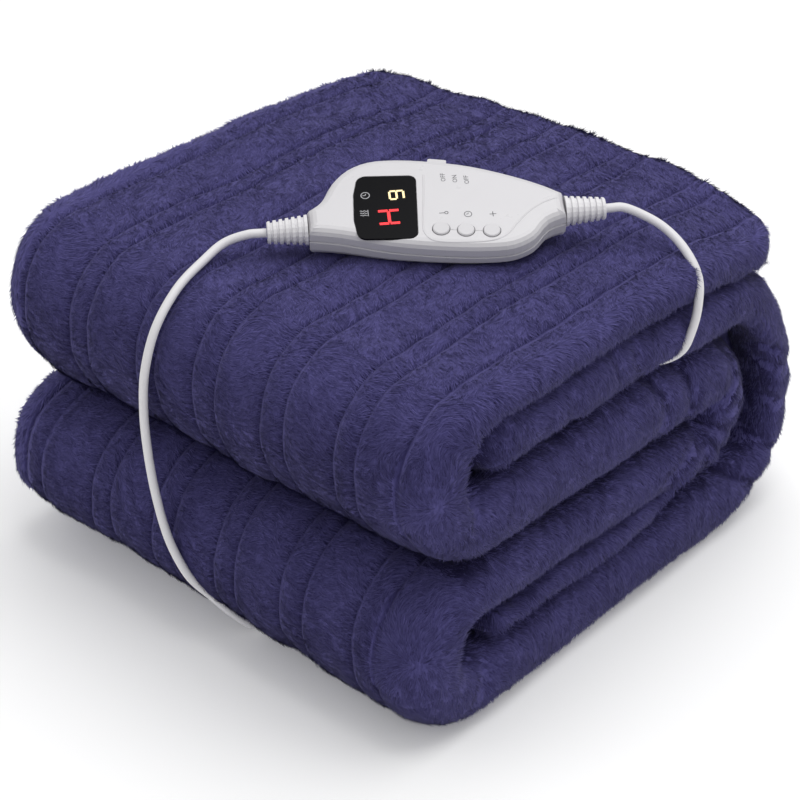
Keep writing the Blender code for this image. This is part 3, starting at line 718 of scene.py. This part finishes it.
class BLANKET_OT_cloth(bpy.types.Operator):
    """Build the folded quilted cloth and its inner ply"""

    bl_idname = "blanket.cloth"
    bl_label = "Cloth"

    def execute(self, context):
        settings = context.scene.blanket_settings
        finish = plush(settings)
        band, nearest = folded_band()[:2]
        ply = inner_ply()[0]
        # painted shade on the cloth: lower down in the seams and the hem, and 0.6 all over the inner ply inside the
        # fold
        for name, points, painted_light_level in (
            ("plush_cloth", band, smoothstep(0.1, 2.4, nearest)),
            ("plush_inner_ply", ply, np.full(ply.shape[:2], 0.6)),
        ):
            mesh = mesh_of(name, points.reshape(-1, 3) * MM, grid_faces(*points.shape[:2], wrap_rows=True))
            write_attribute(mesh, "open", painted_light_level)
            piece = new_object(name, merged(mesh), finish)
            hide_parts("blanket")
        return {"FINISHED"}


# ---------------------------------------------------------------- leads
LEAD_DIAMETER = 5.0
MAINS_ROUTE = (
    (-40, -106.5, 221.5), (-41, -123, 216.6), (-38, -145.5, 211.2), (-35, -165.6, 197.4),
    (-35.5, -174.8, 175), (-38, -175.4, 150), (-37, -175.8, 127), (-32.5, -176, 97), (-25, -175.6, 70),
    (-17.5, -174.5, 55), (-12, -171.4, 44), (-5, -164, 32), (3, -155, 18), (9.2, -144, 6.2),
    (11.8, -132, 2.9), (12, -122, 2.9), (12, -50, 2.9), (12, 30, 2.9), (12, 110, 2.9), (12, 192.1, 2.9),
)
SUPPLY_ROUTE = (
    (117, 58.5, 226.5), (129, 63.5, 220.5), (144, 62.5, 213), (156.5, 59, 201.5), (160.3, 55, 186),
    (160.0, 51, 172), (158, 46.5, 161.5), (151, 41, 155), (141, 36.5, 152), (130, 32.5, 150.4),
    (119, 28.5, 149.6),
)
COIL_MIDDLE = (-21, 211)
# The stored turns, by turns wound: radius and height of the lead's middle
COIL = ((0, 33, 2.9), (0.25, 32.5, 2.6), (1, 28, 2.6), (2, 23, 2.6), (2.35, 24.2, 7.1), (4.1, 32.8, 7.1),
        (4.45, 32.4, 11.5), (5.9, 26, 11.5), (6.25, 28, 11.5))
TAIL_ROUTE = ((-46.3, 239, 11.5), (-57, 238.4, 11.4), (-69, 235.6, 11.2), (-80, 231.4, 10.9))
FACE_CENTRE = (40.3, -24.2, 236.2)
HEADING, FACE_LEAN, FACE_TURN = 40.8, 17.0, 5.7
RELIEF_START, RELIEF_LENGTH, RELIEF_AXIS_N = 70.3, 22.0, -8.4


def handset_place():
    """The matrix from the handset's own axes, in millimetres, to the world, in metres."""
    turned = Matrix.Rotation(math.radians(HEADING), 4, "Z")
    leaned = Matrix.Rotation(math.radians(FACE_LEAN), 4, "X")
    spun = Matrix.Rotation(math.radians(FACE_TURN), 4, "Z")
    return Matrix.Scale(MM, 4) @ Matrix.Translation(FACE_CENTRE) @ turned @ leaned @ spun


def placed(points, place):
    """Points in the handset's axes taken to the world, as arrays."""
    m = np.array(place)
    return np.asarray(points, float) @ m[:3, :3].T + m[:3, 3]


def through(points, spacing, steps=8):
    """Evenly spaced points along a smooth cubic curve through the given ones."""
    points = np.asarray(points, float)
    padded = np.concatenate([2 * points[:1] - points[1:2], points, 2 * points[-1:] - points[-2:-1]])
    legs = np.diff(padded, axis=0)
    root = np.maximum(np.linalg.norm(legs, axis=1), 1e-9)[:, None] ** 0.5
    ahead, behind, span = legs[1:-1], legs[:-2], legs[2:]
    r0, r1, r2 = root[:-2], root[1:-1], root[2:]
    first = (behind / r0 - (behind + ahead) / (r0 + r1) + ahead / r1) * r1
    last = (ahead / r1 - (ahead + span) / (r1 + r2) + span / r2) * r1
    t = (np.arange(steps) / steps)[None, :, None]
    here, there = points[:-1, None], points[1:, None]
    curve = ((2 * t**3 - 3 * t**2 + 1) * here + (t**3 - 2 * t**2 + t) * first[:, None]
             + (3 * t**2 - 2 * t**3) * there + (t**3 - t**2) * last[:, None])
    curve = np.concatenate([curve.reshape(-1, points.shape[1]), points[-1:]])
    return resampled(curve, distances(curve), spacing)[0]


def leaving(side):
    """The first points of a lead, straight out of its strain relief, in millimetres."""
    start = side * (RELIEF_START + RELIEF_LENGTH + 0.3)
    local = [(start + side * step, 0, RELIEF_AXIS_N) for step in (0, 3, 9)]
    return placed(local, handset_place()) / MM


def coil_points():
    """The stored turns: an angle that grows evenly, with radius and height read from the table by turns."""
    table = np.array(COIL, float)
    turns = np.arange(0, table[-1, 0] + 1e-6, 1 / 36)
    radius = np.interp(turns, table[:, 0], table[:, 1])
    height = np.interp(turns, table[:, 0], table[:, 2])
    for _ in range(4):
        radius[1:-1] = (radius[:-2] + 2 * radius[1:-1] + radius[2:]) / 4
        height[1:-1] = (height[:-2] + 2 * height[1:-1] + height[2:]) / 4
    angle = turns * math.tau
    return np.stack([COIL_MIDDLE[0] + radius * np.cos(angle), COIL_MIDDLE[1] + radius * np.sin(angle), height], 1)


def lead(name, points, finish):
    """A round lead as one open curve through the points."""
    line = bpy.data.curves.new(name, "CURVE")
    line.dimensions = "3D"
    line.bevel_depth = LEAD_DIAMETER / 2 * MM
    line.bevel_resolution = 4
    line.use_fill_caps = True
    spline = line.splines.new("POLY")
    spline.points.add(len(points) - 1)
    spline.points.foreach_set("co", np.column_stack([points * MM, np.ones(len(points))]).astype(np.float32).ravel())
    spline.use_smooth = True
    made = bpy.data.objects.new(name, line)
    bpy.context.scene.collection.objects.link(made)
    line.materials.append(finish)
    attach(made, PILE)
    return made, float(distances(points * MM)[-1])


def sheath():
    """The leads' and reliefs' soft plastic: a cloudy white with a fine grain."""
    f = Finish("white_sheath")
    cloudy = f.noise(f.place(), 60.0)
    colour = f.blend(cloudy, (0.66, 0.65, 0.67, 1), (0.72, 0.71, 0.73, 1))
    fine = f.noise(f.place(), 900.0, 2.0)
    return f.set(Base_Color=colour, Roughness=(fine - 0.5) * 0.12 + 0.42, Normal=f.bump(fine, 0.0002, 0.3),
                 Specular_IOR_Level=0.4)


class BLANKET_OT_leads(bpy.types.Operator):
    """Build the mains lead with its stored turns, and the lead into the blanket"""

    bl_idname = "blanket.leads"
    bl_label = "Leads"

    def execute(self, context):
        finish = sheath()
        way = np.concatenate([leaving(-1), MAINS_ROUTE])
        laid = through(way, 2.0)
        turns = coil_points()
        tail = through(np.concatenate([turns[-3:-2], turns[-1:], TAIL_ROUTE]), 2.0)
        mains = np.concatenate([laid, turns[:-1], tail[2:]])
        mains = through(mains[::2], 2.2)
        piece, length = lead("mains_flex", mains, finish)
        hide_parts("mains_lead", "mains_coil", "mains_tail")
        supply = through(np.concatenate([leaving(1), SUPPLY_ROUTE]), 2.0)
        piece, length = lead("blanket_flex", supply, finish)
        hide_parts("blanket_lead")
        return {"FINISHED"}


# ---------------------------------------------------------------- the handset
# Strokes of the digits, from one corner to another of a unit cell
SEGMENTS = {"a": ((0, 1), (1, 1)), "b": ((1, 1), (1, 0.5)), "c": ((1, 0.5), (1, 0)), "d": ((1, 0), (0, 0)),
            "e": ((0, 0), (0, 0.5)), "f": ((0, 0.5), (0, 1)), "g": ((0, 0.5), (1, 0.5))}
# The two lit digits: name, segments, middle (u, v), width, height and stroke in mm
DIGITS = (("timer_digit", "abcdfg", (-20.6, 13.4), 6.0, 7.6, 1.2),
          ("heat_digit", "bcefg", (-26.2, -2.6), 9.4, 11.8, 1.7))
SWITCH_WORDS = (("OFF", (6.0, 24.0)), ("ON", (12.3, 22.4)), ("OFF", (18.6, 21.0)))
WORD_SIZE = 3.7
RIDGE_LINE = ((-4.5, 27), (-6.2, 10), (-8.6, -10), (-8.4, -16), (-5.4, -21), (1, -23.2), (12, -24.6), (24, -25.2),
              (31, -24.2), (36.5, -20.8), (42.5, -13.5), (50, -5.5), (58, 0), (66, 3))
KEY_LINE = ((0.8, -14.2), (14, -16.4), (27.8, -18.2))
KEY_SIGNS = ((3.4, -2.6), (16.4, -4.8), (29.8, -6.0))
MARK_LIFT = 0.06  # mm that a printed mark stands off the surface
SHELL_GRAIN, INK_GRAIN = 0.00004, 0.00002  # height of the grain, in m


class Surface:
    """Where marks lie: the handset's own shapes, looked down on along its axis."""

    def __init__(self, *nodes):
        self.place = handset_place()
        self.down = -(self.place.to_3x3() @ Vector((0, 0, 1))).normalized()
        self.trees = []
        for name in nodes:
            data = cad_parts[name].data
            self.trees.append(BVHTree.FromPolygons([v.co for v in data.vertices],
                                                   [tuple(p.vertices) for p in data.polygons]))

    def lay(self, flat, lift):
        """Points (u, v) of the face plane dropped on to the surface, each then raised by its lift in mm."""
        laid = []
        for (u, v), height in zip(flat, np.broadcast_to(lift, len(flat))):
            start = self.place @ Vector((u, v, 30))
            hits = [hit for hit in (tree.ray_cast(start, self.down) for tree in self.trees) if hit[0] is not None]
            found = min(hits, key=lambda hit: hit[3])[0] if hits else self.place @ Vector((u, v, 0))
            laid.append(found - self.down * float(height) * MM)
        return np.array(laid)


def ribbon(line, width, rise=0.0, closed=False, lift=MARK_LIFT):
    """A strip along a line of (u, v), five points across; rise makes its middle stand up as a rounded ridge."""
    line = np.asarray(line, float)
    ahead = np.roll(line, -1, 0) - np.roll(line, 1, 0) if closed else np.gradient(line, axis=0)
    ahead = unit(ahead)
    side = np.stack([-ahead[:, 1], ahead[:, 0]], axis=1)
    across = np.linspace(-0.5, 0.5, 5)
    flat = line[:, None] + side[:, None] * (across * width)[None, :, None]
    heights = lift + rise * np.sqrt(np.maximum(1 - (2 * across) ** 2, 0))[None] * np.ones((len(line), 1))
    return flat.reshape(-1, 2), heights.ravel(), grid_faces(len(line), 5, wrap_rows=closed)


def marks(name, parts, surface, finish):
    """One piece out of several flat parts, each laid on the surface."""
    points, faces, count = [], [], 0
    for flat, heights, part_faces in parts:
        points.append(surface.lay(flat, heights))
        faces.append(part_faces + count)
        count += len(flat)
    return new_object(name, mesh_of(name, np.concatenate(points), np.concatenate(faces)), finish, smooth=False)


def stroke(start, end, width, steps=4, rise=0.0):
    """A straight mark, cut into short steps so that it follows the surface below."""
    return ribbon(np.linspace(start, end, steps + 1), width, rise)


def ring(middle, radius, steps=28):
    """Points round a circle."""
    angles = np.linspace(0, math.tau, steps, endpoint=False)
    return np.array(middle) + radius * np.column_stack([np.cos(angles), np.sin(angles)])


def word(text, size, middle):
    """A word's letters as flat triangles in the face plane, read along +v with their tops towards -u."""
    curve = bpy.data.curves.new("word", "FONT")
    curve.body, curve.size, curve.resolution_u = text, size, 2
    curve.align_x, curve.align_y = "CENTER", "CENTER"
    holder = bpy.data.objects.new("word", curve)
    mesh = bpy.data.meshes.new_from_object(holder)
    mesh.calc_loop_triangles()
    flat = np.array([(middle[0] - v.co.y, middle[1] + v.co.x) for v in mesh.vertices])
    faces = np.array([t.vertices[:] for t in mesh.loop_triangles])
    bpy.data.objects.remove(holder)
    bpy.data.meshes.remove(mesh)
    return flat, np.full(len(flat), MARK_LIFT), faces


def moulded(name, colour, shine, grain):
    """Moulded plastic: a faint uneven tint, a fine grain and a soft gloss that varies a little."""
    f = Finish(name)
    tint = f.noise(f.place(), 45.0)
    fine = f.noise(f.place(), 2600.0, 2.0)
    smear = f.noise(f.place(scale=(1, 1, 3)), 90.0, 4.0, 0.6)
    shade = tuple(c * 0.95 for c in colour[:3]) + (1,)
    base = f.blend(tint, shade, tuple(colour))
    rough = (smear - 0.5) * 0.16 + shine
    return f.set(Base_Color=base, Roughness=rough, Normal=f.bump(fine, grain, 0.25), Specular_IOR_Level=0.5,
                 Coat_Weight=0.15, Coat_Roughness=0.2)


def lit(name, colour, strength):
    """A lit segment behind the window, brighter in its middle by a fine mottle."""
    f = Finish(name)
    mottle = f.noise(f.place(), 700.0, 2.0)
    base = f.blend(mottle, tuple(c * 0.6 for c in colour[:3]) + (1,), colour)
    return f.set(Base_Color=base, Roughness=mottle * 0.1 + 0.35, Emission_Color=base, Emission_Strength=strength)


def window_finish():
    """The display's glossy black window, faintly smeared."""
    f = Finish("black_window")
    smear = f.noise(f.place(scale=(1, 2.5, 1)), 120.0, 4.0, 0.6)
    tint = f.blend(smear, (0.002, 0.002, 0.003, 1), (0.005, 0.005, 0.006, 1))
    return f.set(Base_Color=tint, Roughness=smear * 0.12 + 0.12, Specular_IOR_Level=0.04)


def blade_finish():
    """The pins' plated brass, worn in streaks along them."""
    f = Finish("plated_brass")
    worn = f.noise(f.place(scale=(1, 1, 6)), 300.0, 4.0, 0.6)
    tint = f.blend(worn, (0.66, 0.60, 0.45, 1), (0.80, 0.76, 0.64, 1))
    return f.set(Base_Color=tint, Metallic=worn * 0.1 + 0.9, Roughness=worn * 0.2 + 0.2,
                 Normal=f.bump(worn, 0.0001, 0.3))


class BLANKET_OT_handset(bpy.types.Operator):
    """Finish the handset's mouldings, keys and plug, and print its display and marks"""

    bl_idname = "blanket.handset"
    bl_label = "Handset"

    def execute(self, context):
        settings = context.scene.handset_settings
        shell = moulded("white_plastic", settings.shell_colour, 0.30, SHELL_GRAIN)
        keys = moulded("white_keys", tuple(c * 0.97 for c in settings.shell_colour[:3]) + (1,), 0.36, SHELL_GRAIN)
        rubber = sheath()
        for finish, names in (
            (shell, ("handset_cover", "handset_base")), (window_finish(), ("display_window",)),
            (keys, ("slide_switch", "button_1", "button_2", "button_3")),
            (rubber, ("strain_relief_mains", "strain_relief_blanket", "plug_body")),
            (blade_finish(), ("plug_pin_1", "plug_pin_2")),
        ):
            for name in names:
                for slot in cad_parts[name].material_slots:
                    slot.material = finish
        surface = Surface("handset_cover", "display_window")
        red, straw = lit("lit_red", (0.85, 0.012, 0.02, 1), 1.3), lit("lit_straw", (0.9, 0.72, 0.38, 1), 0.9)
        grey = lit("dim_icon", (0.42, 0.42, 0.44, 1), 0.25)
        trim = np.linspace(0.06, 0.94, 7)[:, None]
        for (name, segments, (u, v), wide, tall, thick), finish in zip(DIGITS, (straw, red)):
            parts = []
            for letter in segments:
                start, end = np.array([(u - (b - 0.5) * tall, v + (a - 0.5) * wide) for a, b in SEGMENTS[letter]])
                parts.append(ribbon(start * (1 - trim) + end * trim, thick))
            marks(name, parts, surface, finish)
        clock = [ribbon(ring((-37.6, 14.6), 2.3), 0.45, closed=True),
                 stroke((-37.6, 14.6), (-39.1, 14.6), 0.4),
                 stroke((-37.6, 14.6), (-37.2, 15.8), 0.4)]
        waves = []
        for place in (-1.6, 0, 1.6):
            rise = np.linspace(-1.9, 1.9, 14)
            waves.append(ribbon(np.column_stack([-39.6 + rise, 1.4 + place + 0.35 * np.sin(rise * 3.2)]), 0.38))
        waves.append(stroke((-37.2, -0.9), (-37.2, 3.7), 0.38))
        for name, parts in (("clock_icon", clock), ("heat_icon", waves)):
            marks(name, parts, surface, grey)
        ink = moulded("grey_print", (0.09, 0.09, 0.10, 1), 0.5, INK_GRAIN)
        printed = [word(text, WORD_SIZE, middle) for text, middle in SWITCH_WORDS]
        (u0, v0), (u1, v1), (u2, v2) = KEY_SIGNS
        printed += [stroke((u0 - 2.4, v0), (u0 + 0.6, v0), 0.45),
                    ribbon(ring((u0 + 1.5, v0), 0.9), 0.42, closed=True),
                    ribbon(ring((u1, v1), 2.0), 0.42, closed=True),
                    stroke((u1, v1), (u1 - 1.3, v1), 0.36),
                    stroke((u1, v1), (u1 + 0.2, v1 + 1.0), 0.36),
                    stroke((u2 - 1.8, v2), (u2 + 1.8, v2), 0.45),
                    stroke((u2, v2 - 1.8), (u2, v2 + 1.8), 0.45)]
        triangles = []
        for flat, heights, faces in printed:
            if faces.shape[1] == 4:
                faces = np.concatenate([faces[:, :3], faces[:, [0, 2, 3]]])
            triangles.append((flat, heights, faces))
        marks("printed_marks", triangles, surface, ink)
        ridge = marks("raised_line", [ribbon(through(RIDGE_LINE, 1.2), 1.1, rise=0.38, lift=-0.05)], surface, shell)
        grooves = [stroke(np.add(a, (5.2, -0.8)), np.add(b, (-5.2, 0.6)), 0.5, steps=6, rise=0.12)
                   for a, b in zip(KEY_LINE, KEY_LINE[1:])]
        joined = marks("key_line", grooves, surface, keys)
        for made in (ridge, joined):
            made.data.shade_smooth()
        return {"FINISHED"}


# ---------------------------------------------------------------- stage
AIM = (0.0125, -0.0225, 0.1)
CAMERA_DISTANCE, CAMERA_TURN, CAMERA_RISE = 1.48, 40.8, 33.5


class BLANKET_OT_stage(bpy.types.Operator):
    """Set up the floor, the soft light and the camera"""

    bl_idname = "blanket.stage"
    bl_label = "Stage"

    def execute(self, context):
        settings = context.scene.blanket_stage
        scene = context.scene
        turned, rise = math.radians(CAMERA_TURN), math.radians(CAMERA_RISE)
        back = np.array([math.sin(turned) * math.cos(rise), -math.cos(turned) * math.cos(rise), math.sin(rise)])
        data = bpy.data.cameras.new("camera")
        data.lens, data.sensor_width = settings.lens, 36
        data.clip_start, data.clip_end = 0.05, 50
        camera = bpy.data.objects.new("camera", data)
        scene.collection.objects.link(camera)
        camera.location = np.array(AIM) + CAMERA_DISTANCE * back
        camera.rotation_euler = (math.pi / 2 - rise, 0, turned)
        scene.camera = camera
        floor_finish = Finish("pale_floor")
        mottle = floor_finish.noise(floor_finish.place(), 3.0)
        floor_finish.set(Base_Color=floor_finish.blend(mottle, (0.93, 0.93, 0.93, 1), (0.95, 0.95, 0.95, 1)),
                         Roughness=0.9, Specular_IOR_Level=0.1, Emission_Color=(1, 1, 1, 1), Emission_Strength=0.13)
        points = np.array([(-6, -6, 0), (6, -6, 0), (6, 6, 0), (-6, 6, 0)], float)
        floor = new_object("floor", mesh_of("floor", points, np.arange(4)[None]), floor_finish.material, None, False)
        world = bpy.data.worlds.new("studio")
        world.use_nodes = True
        world.node_tree.nodes["Background"].inputs["Color"].default_value = (1, 1, 1, 1)
        world.node_tree.nodes["Background"].inputs["Strength"].default_value = settings.world_light
        scene.world = world
        for name, place, size, power in (
            ("overhead", (0.2, 0.3, 1.6), 1.4, settings.key_power),
            ("front_left", (-1.2, -1.2, 0.9), 1.0, settings.key_power * 0.12),
        ):
            lamp = bpy.data.lights.new(name, "AREA")
            lamp.energy, lamp.size = power, size
            light = bpy.data.objects.new(name, lamp)
            scene.collection.objects.link(light)
            light.location = place
            direction = np.array(AIM) - np.array(place)
            light.rotation_euler = Vector(direction).to_track_quat("-Z", "Y").to_euler()
        scene.view_settings.view_transform = "Standard"
        return {"FINISHED"}


class BLANKET_PT_panel(bpy.types.Panel):
    bl_label = "Electric Blanket"
    bl_idname = "BLANKET_PT_panel"
    bl_space_type = "VIEW_3D"
    bl_region_type = "UI"
    bl_category = "Blanket"

    def draw(self, context):
        for group in (context.scene.blanket_settings, context.scene.handset_settings, context.scene.blanket_stage):
            for name in group.__annotations__:
                self.layout.prop(group, name)
        for operator in OPERATORS:
            self.layout.operator(operator.bl_idname)


GROUPS = (
    ("blanket_settings", BlanketSettings), ("handset_settings", HandsetSettings), ("blanket_stage", StageSettings),
)
OPERATORS = (BLANKET_OT_leads, BLANKET_OT_cloth, BLANKET_OT_pile, BLANKET_OT_handset, BLANKET_OT_stage)


def register():
    for name, group in GROUPS:
        bpy.utils.register_class(group)
        setattr(bpy.types.Scene, name, PointerProperty(type=group))
    for operator in OPERATORS + (BLANKET_PT_panel,):
        bpy.utils.register_class(operator)


def unregister():
    for operator in (BLANKET_PT_panel,) + OPERATORS[::-1]:
        bpy.utils.unregister_class(operator)
    for name, group in GROUPS[::-1]:
        delattr(bpy.types.Scene, name)
        bpy.utils.unregister_class(group)


def main():
    register()
    for operator in OPERATORS:
        group, name = operator.bl_idname.split(".")
        getattr(getattr(bpy.ops, group), name)()


if __name__ == "__main__":
    main()
